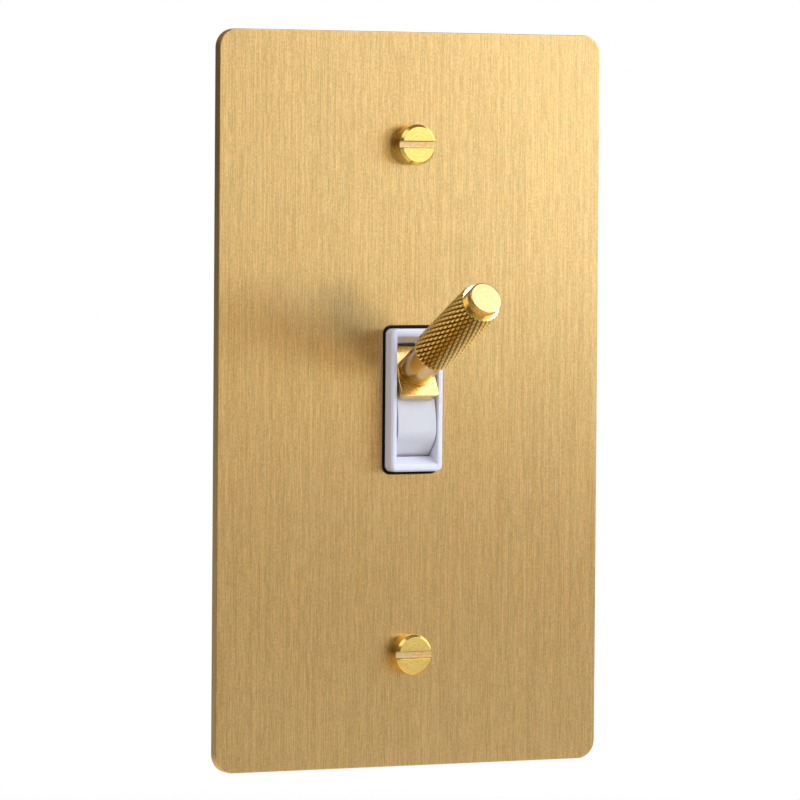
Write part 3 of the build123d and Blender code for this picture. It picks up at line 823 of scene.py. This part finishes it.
class SWITCH_OT_stage(bpy.types.Operator):
    """Camera, floor, lamps and surroundings."""
    bl_idname = "switch.stage"
    bl_label = "Stage"

    def execute(self, context):
        setup = context.scene.switch_stage
        azimuth, roll = math.radians(setup.azimuth), math.radians(setup.roll)
        back = direction(setup.azimuth, setup.elevation)
        right = Vector((math.cos(azimuth), math.sin(azimuth), 0))
        up = back.cross(right)
        turned_right = right * math.cos(roll) + up * math.sin(roll)
        turned_up = up * math.cos(roll) - right * math.sin(roll)
        data = bpy.data.cameras.new("camera")
        data.lens = setup.lens
        data.sensor_width = SENSOR_WIDTH
        data.clip_start, data.clip_end = 0.01, 50.0
        camera = bpy.data.objects.new("camera", data)
        context.scene.collection.objects.link(camera)
        turn = Matrix((turned_right, turned_up, back)).transposed().to_4x4()
        camera.matrix_world = Matrix.Translation(Vector(setup.camera)) @ turn
        context.scene.camera = camera
        context.scene.view_settings.view_transform = "Standard"

        low = (-FLOOR_REACH, -FLOOR_REACH, setup.floor - FLOOR_DEPTH)
        floor = loose_object("floor", block(low, (FLOOR_REACH, FLOOR_REACH, setup.floor)))
        floor.data.materials.append(floor_white("floor_white"))
        self.surroundings(context, setup, back)
        for name, azimuth, elevation, distance, size, share, tint in LAMPS:
            back = direction(azimuth, elevation)
            lamp = self.lamp(context, name, back, distance, size, setup.key * share)
            lamp.data.color = tint
        return {"FINISHED"}

    def lamp(self, context, name, back, distance, size, radiance):
        """An area lamp of this radiance, that shines at the lever from this direction."""
        data = bpy.data.lights.new(name, "AREA")
        data.shape = "RECTANGLE"
        data.size, data.size_y = size
        data.energy = radiance * math.pi * size[0] * size[1]
        lamp = bpy.data.objects.new(name, data)
        context.scene.collection.objects.link(lamp)
        turn = back.to_track_quat("Z", "Y").to_matrix().to_4x4()
        lamp.matrix_world = Matrix.Translation(back * distance) @ turn
        return lamp

    def surroundings(self, context, setup, back):
        """White to the camera and a plain fill for matt surfaces.

        Metal shows it as a dim warm room, lighter behind the object and higher up.
        """
        world = bpy.data.worlds.new("surroundings")
        context.scene.world = world
        world.use_nodes = True
        world.node_tree.nodes.clear()
        rule = Rule(world.node_tree)
        path = rule.add("ShaderNodeLightPath").outputs
        shown = rule.math("MAXIMUM", path["Is Glossy Ray"], path["Is Transmission Ray"])
        way = rule.add("ShaderNodeTexCoord").outputs["Generated"]
        height = rule.separate(way)[2]
        facing = rule.add("ShaderNodeVectorMath", {0: way, 1: -back}, operation="DOT_PRODUCT")
        behind = rule.spread(facing.outputs["Value"], 0.86, 0.95, 0.0, 0.7)
        rise = rule.spread(height, -0.1, 0.4, 0.02, 0.2)
        room = rule.math("MAXIMUM", behind, rise)
        fill = rule.plus(rule.times(shown, rule.minus(room, setup.fill)), setup.fill)
        strength = rule.math("MAXIMUM", path["Is Camera Ray"], fill)
        warm = rule.times(shown, rule.spread(room, 0.1, 0.5, 1.0, 0.0))
        tint = rule.blend(warm, WHITE, (1, 0.78, 0.48, 1))
        background = rule.add("ShaderNodeBackground", {"Color": tint, "Strength": strength})
        output = rule.add("ShaderNodeOutputWorld")
        rule.tree.links.new(background.outputs[0], output.inputs["Surface"])


def floor_white(name):
    """Pale floor, white far off; near by it takes the shadow, and metal shows it warm."""
    material, rule = new_material(name)
    path = rule.add("ShaderNodeLightPath").outputs
    speck = rule.noise(object_place(rule), scale=40.0)
    base = rule.blend(speck, (0.56, 0.56, 0.56, 1), (0.60, 0.60, 0.60, 1))
    matt = rule.add("ShaderNodeBsdfDiffuse", {"Color": base})
    tint = rule.blend(path["Is Glossy Ray"], WHITE, (1, 0.78, 0.5, 1))
    glow = rule.add("ShaderNodeEmission", {"Color": tint, "Strength": 1.0})
    away = rule.add("ShaderNodeVectorMath", {0: object_place(rule)}, operation="LENGTH")
    distant = rule.spread(away.outputs["Value"], 0.16, 0.36, 0.72, 1.0)
    share = rule.times(path["Is Camera Ray"], distant)
    close_by = rule.spread(away.outputs["Value"], 0.11, 0.2, 0.8, 0.0)
    share = rule.math("MAXIMUM", share, rule.times(path["Is Glossy Ray"], close_by))
    mix = rule.add("ShaderNodeMixShader", {0: share, 1: matt.outputs[0], 2: glow.outputs[0]})
    close_material(rule, mix)
    return material


# The pieces

class SWITCH_OT_face_plate(bpy.types.Operator):
    """Brushed brass face plate with its window and screw holes."""
    bl_idname = "switch.face_plate"
    bl_label = "Face plate"

    def execute(self, context):
        look = context.scene.switch_plate
        finish = brushed_brass(
            "brushed_brass", look.brass, look.brass_deep, look.roughness, look.lacquer
        )
        thickness = PLATE_HIGH.y - PLATE_LOW.y
        openings = [rounded_outline(look.window_width, look.window_height, look.window_corner, 8)]
        for level in (-1, 1):
            openings.append(round_outline(look.hole, (0, level * look.screw_pitch / 2)))
        mesh = sheet_metal(
            rounded_outline(look.width, look.height, look.corner, 20), openings, thickness,
            look.edge,
        )
        moved(mesh, Matrix.Translation((0, PLATE_HIGH.y, 0)) @ TO_ROOM)
        place_piece("face_plate_brushed", mesh, WALL, "face_plate", finish)
        return {"FINISHED"}


def slotted_head(radius, height, slot_width, slot_depth, bevel, edge=0.05):
    """Screw head in millimetres from Z = 0 upwards, with a slot along X."""
    blank = lathe(softened([
        (0, 0, 0), (0, radius, 0.05), (height - bevel, radius, 0.06),
        (height, radius - bevel, 0.06), (height, 0, 0),
    ]), TURNED_STEPS)
    half, reach = slot_width / 2 * MM, 2 * radius * MM
    cutter = block((-reach, -half, (height - slot_depth) * MM), (reach, half, 2 * height * MM))
    head = edged(flattened(carved(blank, cutter)), edge * MM, angle=50.0)
    remember_place(head)
    return head


def threaded_shank(finish, start, end, tip, neck=None):
    """Shank in millimetres from Z = start down to Z = end, with a cut thread and a bevelled tip.

    A neck is the radius and the lowest Z of a plain stretch under the head.
    """
    rows = int((start - end - tip) / THREAD_PITCH * THREAD_STEPS)
    profile = [(start * MM, 0)]
    first = start
    if neck:
        profile += [(start * MM, neck[0] * MM), (neck[1] * MM, neck[0] * MM)]
        first = neck[1]
    low = end + tip
    profile += [
        ((first - (first - low) * step / rows) * MM, THREAD_RADIUS * MM)
        for step in range(rows + 1)
    ]
    profile += [(end * MM, (THREAD_RADIUS - tip) * MM), (end * MM, 0)]
    blank = lathe([Vector(pair) for pair in profile], 40)
    remember_place(blank)
    return follow(blank, "screw_thread", finish, {
        "Radius": THREAD_RADIUS * MM, "Depth": THREAD_DEPTH * MM, "Pitch": THREAD_PITCH * MM,
        "Starts": 1, "Twist": 0, "From": (end - 1) * MM, "To": (first - 0.5 * THREAD_PITCH) * MM,
    })


class SWITCH_OT_plate_screws(bpy.types.Operator):
    """Two slotted cheese head screws with their threads."""
    bl_idname = "switch.plate_screws"
    bl_label = "Plate screws"

    def execute(self, context):
        look = context.scene.switch_plate
        head_height = (PLATE_LOW.y - SCREWS_LOW.y) / MM
        slot = (look.slot_brass, SLOT_WIDTH / 2 * MM, (head_height - SLOT_DEPTH) * MM)
        finish = turned_metal(
            "polished_brass", look.screw_brass, (0.8, 0.68, 0.45), 0.2, fineness=5200.0,
            depth=0.02 * MM, handled=0.5, slot=slot,
        )
        head = slotted_head(
            HEAD_RADIUS / MM, head_height, SLOT_WIDTH, SLOT_DEPTH, HEAD_BEVEL, edge=0.07
        )
        tip = -(SCREWS_HIGH.y - PLATE_LOW.y) / MM
        shank = threaded_shank(finish, 0.3, tip, 0.6, neck=(1.6, -4.6))
        mesh = in_pair(
            moved(joined([head, shank]), TO_ROOM), finish,
            (0, PLATE_LOW.y, -look.screw_pitch / 2), (0, 0, look.screw_pitch),
        )
        place_piece("plate_screws_slotted", mesh, WALL, "plate_screws", finish)
        return {"FINISHED"}


class SWITCH_OT_bezel(bpy.types.Operator):
    """White switch cover with its bezel, and the black gasket round it."""
    bl_idname = "switch.bezel"
    bl_label = "Bezel and gasket"

    def execute(self, context):
        look = context.scene.switch_mouldings
        white = moulded_plastic("bezel_plastic", look.bezel, 0.34)
        mesh = edged(frame_copy("switch_cover"), 0.1 * MM, angle=40.0)
        place_piece("switch_cover_moulded", mesh, WALL, "switch_cover", white)
        rubber = moulded_plastic("black_rubber", look.rubber, 0.6, speckle=0.3, specular=0.15)
        opening = rounded_outline(BEZEL_WIDTH * MM, BEZEL_HEIGHT * MM, BEZEL_CORNER * MM, 8)
        bead = sheet_metal(
            rounded_outline(look.bead_width, look.bead_height, BEAD_CORNER * MM, 8), [opening],
            look.bead_rise, BEAD_EDGE * MM,
        )
        # The bead stands on the gasket's lip, its foot's rounding below the plate's face
        moved(bead, Matrix.Translation((0, PLATE_LOW.y + BEAD_EDGE * MM, 0)) @ TO_ROOM)
        mesh = joined([edged(frame_copy("gasket"), 0.06 * MM, angle=60.0), bead])
        place_piece("gasket_rubber", mesh, WALL, "gasket", rubber)
        return {"FINISHED"}


class SWITCH_OT_drum(bpy.types.Operator):
    """White rocking drum that carries the lever."""
    bl_idname = "switch.drum"
    bl_label = "Rocking drum"

    def execute(self, context):
        look = context.scene.switch_mouldings
        white = moulded_plastic("drum_plastic", look.drum, 0.38)
        mesh = edged(frame_copy("toggle_drum"), 0.12 * MM, angle=60.0, segments=3)
        place_piece("toggle_drum_moulded", mesh, LEVER, "toggle_drum", white)
        return {"FINISHED"}


def lever_brass(name, look, roughness, **marks):
    """Turned brass of the lever's pieces."""
    shades = (0.78, 0.66, 0.42)
    return turned_metal(name, look.brass, shades, roughness, lacquer=0.5, **marks)


class SWITCH_OT_lever_foot(bpy.types.Operator):
    """Rectangular brass foot on the drum, and the plain turned neck above it."""
    bl_idname = "switch.lever_foot"
    bl_label = "Lever foot and neck"

    def execute(self, context):
        look = context.scene.switch_lever
        finish = lever_brass("foot_brass", look, 0.24, fineness=6000.0, handled=0.5)
        outline = rounded_outline(FOOT_WIDTH * MM, FOOT_HEIGHT * MM, FOOT_CORNER * MM, 8)
        bore = round_outline(STUD_RADIUS * MM)
        mesh = sheet_metal(outline, [bore], FOOT_THICKNESS * MM, 0.18 * MM)
        remember_place(mesh)
        moved(mesh, LEVER_PLACE @ Matrix.Translation((0, 0, FOOT_LEVEL * MM)))
        place_piece("lever_foot_milled", mesh, LEVER, "lever_foot", finish)

        finish = lever_brass("neck_brass", look, 0.22, fineness=9000.0, handled=0.1)
        bevel = 0.3
        mesh = lathe(softened([
            (STUD_TOP, 0, 0), (STUD_TOP, STUD_RADIUS, 0), (NECK_LEVEL, STUD_RADIUS, 0),
            (NECK_LEVEL, NECK_RADIUS - bevel, 0.05), (NECK_LEVEL + bevel, NECK_RADIUS, 0.12),
            (GRIP_LEVEL, NECK_RADIUS, 0.05), (GRIP_LEVEL, SPIGOT_RADIUS, 0),
            (SPIGOT_TOP, SPIGOT_RADIUS, 0), (SPIGOT_TOP, 0, 0),
        ]), TURNED_STEPS)
        remember_place(mesh)
        moved(mesh, LEVER_PLACE)
        place_piece("lever_neck_turned", mesh, LEVER, "lever_neck", finish)
        return {"FINISHED"}


class SWITCH_OT_grip(bpy.types.Operator):
    """Knurled grip sleeve with its plain chamfered rim."""
    bl_idname = "switch.grip"
    bl_label = "Knurled grip"

    def execute(self, context):
        look = context.scene.switch_lever
        finish = knurled_brass("knurled_brass", look.knurl_lit_brass, look.groove_shade_brass)
        radius = look.grip_radius
        row = look.knurl_pitch / TOOTH_STEPS
        start, end, bore = GRIP_LEVEL * MM, GRIP_TOP * MM, SPIGOT_RADIUS * MM
        bevel = 0.25 * MM
        heights = {start + step * row for step in range(int((end - start) / row) + 1)}
        heights |= {start + bevel, end - bevel, end}
        profile = [Vector((start, bore))]
        for height in sorted(heights):
            inset = max(0, bevel - (height - start), bevel - (end - height))
            profile.append(Vector((height, radius - inset)))
        profile.append(Vector((end, bore)))
        blank = lathe(profile, look.teeth * TOOTH_STEPS)
        mesh = follow(blank, "diamond_knurl", finish, {
            "Radius": radius, "Depth": look.knurl_depth, "Pitch": look.knurl_pitch,
            "Starts": look.teeth, "Twist": look.knurl_twist, "From": start - row,
            "To": end + row,
        })
        remember_place(mesh)
        moved(mesh, LEVER_PLACE)
        place_piece(
            "knurled_grip_sleeve", mesh, LEVER, "knurled_grip", finish, 35.0
        )
        return {"FINISHED"}


class SWITCH_OT_button(bpy.types.Operator):
    """Turned end button of the lever."""
    bl_idname = "switch.button"
    bl_label = "End button"

    def execute(self, context):
        look = context.scene.switch_lever
        finish = lever_brass("button_brass", look, 0.24, fineness=5000.0, handled=0.6)
        profile = softened([
            (SPIGOT_TOP, 0, 0), (SPIGOT_TOP, SPIGOT_RADIUS, 0), (GRIP_TOP, SPIGOT_RADIUS, 0),
            (GRIP_TOP, BUTTON_RADIUS, 0.04), (BUTTON_TOP, BUTTON_RADIUS, 0.28),
            (BUTTON_TOP, 0, 0),
        ], steps=6)
        mesh = lathe(profile, TURNED_STEPS)
        remember_place(mesh)
        moved(mesh, LEVER_PLACE)
        place_piece("end_button_turned", mesh, LEVER, "end_button", finish)
        return {"FINISHED"}


class SWITCH_OT_housing(bpy.types.Operator):
    """Dark housing base, the strap with its screw retainers, and the rivets that hold them."""
    bl_idname = "switch.housing"
    bl_label = "Housing and strap"

    def execute(self, context):
        look = context.scene.switch_mouldings
        metals = context.scene.switch_works
        dark = moulded_plastic("dark_plastic", look.base, 0.42, speckle=0.35)
        fibre = moulded_plastic("fibre", look.fibre, 0.6, speckle=0.25)
        zinc = rolled_metal("zinc_steel", metals.zinc, 0.86, 0.34)
        dress_copies((
            ("housing_base_moulded", "housing_base", WALL, "dark_plastic", dark, 0.12),
            ("screw_retainers_fibre", "screw_retainers", WALL, "fibre", fibre, 0.06),
            ("mounting_strap_plated", "mounting_strap", WALL, "zinc_steel", zinc, 0.12),
            ("housing_rivets_rolled", "housing_rivets", WALL, "zinc_steel", zinc, 0.08),
        ))
        return {"FINISHED"}


class SWITCH_OT_terminals(bpy.types.Operator):
    """Terminals, clamp plates, terminal screws and the green earth screw."""
    bl_idname = "switch.terminals"
    bl_label = "Terminals"

    def execute(self, context):
        metals = context.scene.switch_works
        brass = rolled_metal("terminal_sheet", metals.terminal, 0.8, 0.3)
        zinc = rolled_metal("clamp_zinc", metals.zinc, 0.86, 0.32)
        dress_copies((
            ("line_terminal_stamped", "line_terminal", WALL, "terminal_brass", brass, 0.08),
            ("load_terminal_stamped", "load_terminal", WALL, "terminal_brass", brass, 0.08),
            ("clamp_plates_stamped", "clamp_plates", WALL, "zinc_steel", zinc, 0.08),
        ))

        finish = turned_metal("terminal_screw_brass", metals.terminal, 0.8, 0.22, fineness=5200.0)
        node = "terminal_screws"
        mesh = self.side_screws(node, finish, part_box(node)[1].x, 12.0 * MM)
        place_piece("terminal_screws_slotted", mesh, WALL, node, finish)

        finish = turned_metal("green_screw", metals.green, 0.6, 0.3, fineness=5200.0)
        node = "ground_screw"
        low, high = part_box(node)
        mesh = one_side(self.side_screws(node, finish, -low.x, -high.x), -1)
        place_piece("earth_screw_slotted", mesh, WALL, node, finish)
        return {"FINISHED"}

    def side_screws(self, node, finish, top, tip):
        """A binding head screw on each side, at the node's height, from X = tip out to top."""
        low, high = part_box(node)
        seat = top - BINDING_HEIGHT * MM
        head = slotted_head(BINDING_RADIUS, BINDING_HEIGHT, 1.1, 1.0, 0.3)
        shank = threaded_shank(finish, 0.3, -(seat - tip) / MM, 0.25)
        return in_pair(
            moved(joined([head, shank]), TO_SIDE), finish,
            (seat, (low.y + high.y) / 2, (low.z + high.z) / 2), (-2 * seat, 0, 0), turn=math.pi,
        )


def one_side(mesh, side):
    """The mesh's part on one side of X = 0."""
    shape = bmesh.new()
    shape.from_mesh(mesh)
    extra = [point for point in shape.verts if point.co.x * side < 0]
    bmesh.ops.delete(shape, geom=extra, context="VERTS")
    return finished_mesh(shape)


class SWITCH_OT_works(bpy.types.Operator):
    """Pivot, insert, stud, carriage, contacts and detent leaf inside the housing."""
    bl_idname = "switch.works"
    bl_label = "Works"

    def execute(self, context):
        look = context.scene.switch_mouldings
        metals = context.scene.switch_works
        steel = rolled_metal("bright_steel", metals.steel, 0.85, 0.2)
        spring = rolled_metal("spring_steel", metals.spring, 0.8, 0.28)
        brass = rolled_metal("insert_brass", metals.terminal, 0.8, 0.3)
        copper = rolled_metal("copper", metals.copper, 0.8, 0.3)
        silver = rolled_metal("contact_silver", metals.silver, 0.9, 0.25)
        dark = moulded_plastic("carriage_plastic", look.carriage, 0.45, speckle=0.2)
        dress_copies((
            ("pivot_pin_ground", "pivot_pin", WALL, "bright_steel", steel, 0.05),
            ("threaded_insert_turned", "threaded_insert", LEVER, "terminal_brass", brass, 0.05),
            ("lever_stud_turned", "lever_stud", LEVER, "bright_steel", steel, 0.05),
            ("contact_carriage_moulded", "contact_carriage", CARRIAGE, "carriage_plastic", dark,
             0.1),
            ("contact_bridge_stamped", "contact_bridge", CARRIAGE, "copper", copper, 0.05),
            ("moving_contacts_silver", "moving_contacts", CARRIAGE, "contact_silver", silver, 0.06),
            ("fixed_contacts_silver", "fixed_contacts", WALL, "contact_silver", silver, 0.06),
            ("detent_leaf_formed", "detent_leaf", WALL, "spring_steel", spring, 0.04),
        ))
        return {"FINISHED"}


OPERATORS = (
    SWITCH_OT_stage,
    SWITCH_OT_face_plate,
    SWITCH_OT_plate_screws,
    SWITCH_OT_bezel,
    SWITCH_OT_drum,
    SWITCH_OT_lever_foot,
    SWITCH_OT_grip,
    SWITCH_OT_button,
    SWITCH_OT_housing,
    SWITCH_OT_terminals,
    SWITCH_OT_works,
)
GROUPS = {
    "switch_plate": SWITCH_PG_plate,
    "switch_lever": SWITCH_PG_lever,
    "switch_mouldings": SWITCH_PG_mouldings,
    "switch_works": SWITCH_PG_works,
    "switch_stage": SWITCH_PG_stage,
}


class SWITCH_PT_pieces(bpy.types.Panel):
    """Lists the switch's pieces and settings in the sidebar."""
    bl_idname = "SWITCH_PT_pieces"
    bl_label = "Toggle light switch"
    bl_space_type = "VIEW_3D"
    bl_region_type = "UI"
    bl_category = "Switch"

    def draw(self, context):
        layout = self.layout
        for operator in OPERATORS:
            layout.operator(operator.bl_idname)
        for name, group in GROUPS.items():
            box = layout.box()
            box.label(text=group.__doc__)
            for field in group.__annotations__:
                box.prop(getattr(context.scene, name), field)


CLASSES = (*GROUPS.values(), *OPERATORS, SWITCH_PT_pieces)


def register():
    """Registers the classes and their settings on the scene."""
    for made in CLASSES:
        bpy.utils.register_class(made)
    for name, group in GROUPS.items():
        setattr(bpy.types.Scene, name, PointerProperty(type=group))


def unregister():
    """Takes the classes and settings away again."""
    for name in GROUPS:
        delattr(bpy.types.Scene, name)
    for made in reversed(CLASSES):
        bpy.utils.unregister_class(made)


def main():
    """Registers the classes, then builds every piece in order."""
    register()
    for operator in OPERATORS:
        group, name = operator.bl_idname.split(".")
        getattr(getattr(bpy.ops, group), name)()


if __name__ == "__main__":
    main()
